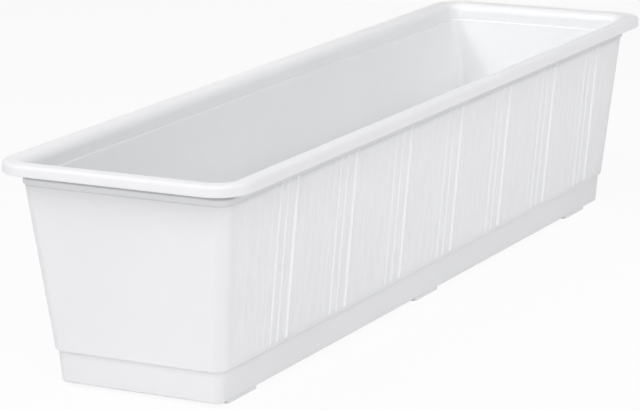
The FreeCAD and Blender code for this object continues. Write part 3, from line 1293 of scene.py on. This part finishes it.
@dataclass
class Studio:
    """Pale floor, bright surroundings, soft lights and the photograph's view."""

    floor_side: float = 30.0
    floor_colour: tuple[float, float, float] = (0.94, 0.94, 0.945)
    floor_glow: float = 0.92
    glow_colour: tuple[float, float, float] = (1.0, 0.995, 1.0)
    backdrop: float = 0.98
    sky: float = 0.30
    sky_colour: tuple[float, float, float] = (1.0, 0.985, 1.0)
    eye: tuple[float, float, float] = (-2.18949, -1.13216, 0.66692)
    yaw: float = 28.09
    pitch: float = 13.60
    roll: float = -0.77
    lens: float = 165.50
    lights: tuple[SoftLight, ...] = (
        SoftLight("near_front", (-1.59, -0.92, 1.64), (0.0, 0.0, 0.1), 1.2, 15.2),
        SoftLight("near_low", (-2.11, -0.57, 0.37), (0.0, 0.0, 0.1), 0.8, 5.4),
        SoftLight("near_back", (-1.41, 1.18, 1.64), (0.0, 0.0, 0.1), 1.2, 11.6),
        SoftLight("far_front", (0.3, -1.3, 0.9), (0.4, 0.0, 0.1), 0.6, 5.9),
        SoftLight("far_over", (-0.5, 0.3, 1.4), (0.4, 0.0, 0.12), 0.5, 3.6),
        SoftLight("far_inside", (-0.9, 0.42, 0.75), (0.4, 0.0, 0.14), 0.2, 0.09, 30.0),
    )

    def build(self) -> None:
        """Set up the whole studio."""
        self.build_floor()
        self.build_world()
        for light in self.lights:
            light.build()
        self.build_camera()
        bpy.context.scene.view_settings.view_transform = "Standard"

    def build_floor(self) -> None:
        """Lay the pale floor and light it for the camera's rays alone, so that it shows near white."""
        half = self.floor_side / 2
        mesh = bpy.data.meshes.new("floor")
        corners = [(-half, -half, 0.0), (half, -half, 0.0), (half, half, 0.0), (-half, half, 0.0)]
        mesh.from_pydata(corners, [], [(0, 1, 2, 3)])
        floor = bpy.data.objects.new("floor", mesh)
        bpy.context.scene.collection.objects.link(floor)
        board = Board(bpy.data.materials.new("floor_paper"))
        matt = board.add("ShaderNodeBsdfDiffuse", None, {"Color": self.floor_colour + (1.0,)})
        glow = board.add("ShaderNodeEmission", None, {"Color": self.glow_colour + (1.0,), "Strength": 1.0})
        share = board.seen() * self.floor_glow
        floor.data.materials.append(board.finish(
            board.add("ShaderNodeMixShader", None, {0: share, 1: matt, 2: glow})
        ))

    def build_world(self) -> None:
        """Give the camera a near-white surround and the object a softer one."""
        world = bpy.data.worlds.new("studio")
        bpy.context.scene.world = world
        board = Board(world)
        sky, white = (
            board.add("ShaderNodeBackground", None, {"Color": colour + (1.0,), "Strength": strength})
            for colour, strength in ((self.sky_colour, self.sky), ((1.0, 1.0, 1.0), self.backdrop))
        )
        board.finish(board.add("ShaderNodeMixShader", None, {0: board.seen(), 1: sky, 2: white}))

    def build_camera(self) -> None:
        """Place the camera.

        It looks along the yaw and pitch, and its right and up are turned about that line by the roll.
        """
        yaw, pitch, roll = (math.radians(angle) for angle in (self.yaw, self.pitch, self.roll))
        ahead = Vector((math.cos(pitch) * math.cos(yaw), math.cos(pitch) * math.sin(yaw), -math.sin(pitch)))
        level = Vector((math.sin(yaw), -math.cos(yaw), 0.0))
        above = level.cross(ahead)
        right = math.cos(roll) * level + math.sin(roll) * above
        up = -math.sin(roll) * level + math.cos(roll) * above
        data = bpy.data.cameras.new("camera")
        data.lens = self.lens
        data.sensor_width = 36.0
        data.sensor_fit = "HORIZONTAL"
        data.clip_start = 0.05
        data.clip_end = 60.0
        camera = bpy.data.objects.new("camera", data)
        turn = Matrix((right, up, -ahead)).transposed().to_4x4()
        camera.matrix_world = Matrix.Translation(Vector(self.eye)) @ turn
        bpy.context.scene.collection.objects.link(camera)
        bpy.context.scene.camera = camera


# ---------------------------------------------------------------- assembly


def dress(piece: bpy.types.Object, finish: Finish, body: str) -> None:
    """Give a piece its finish and its body, and report it.

    Args:
        piece: The piece.
        finish: Its finish.
        body: Body that it rides on.
    """
    piece.data.materials.append(finish.shared())
    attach(piece, body)
    log.info("%s: %d points, %d faces", piece.name, len(piece.data.vertices), len(piece.data.polygons))


def dress_nodes() -> None:
    """Give every hidden collision node the finish of the piece that stands for it."""
    for name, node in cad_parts.items():
        finish = Finish.TRAY if name == "drip_tray" else Finish.PLUG if "plug" in name else Finish.TROUGH
        node.data.materials.clear()
        node.data.materials.append(finish.shared())


def main() -> None:
    Studio().build()
    trough, tray, plug = Trough(), Tray(), Plug()
    for piece in trough.build(tray.pillar_places()):
        dress(piece, Finish.TROUGH, "trough")
        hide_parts("trough_shell")
    for piece in tray.build():
        dress(piece, Finish.TRAY, "tray")
        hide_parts("drip_tray")
    for number, place in enumerate(trough.drain_places(), start=1):
        piece = plug.build(f"plug_piece_{number}", place)
        dress(piece, Finish.PLUG, f"plug_{number}")
        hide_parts(f"drain_plug_{number}")
    dress_nodes()


if __name__ == "__main__":
    main()
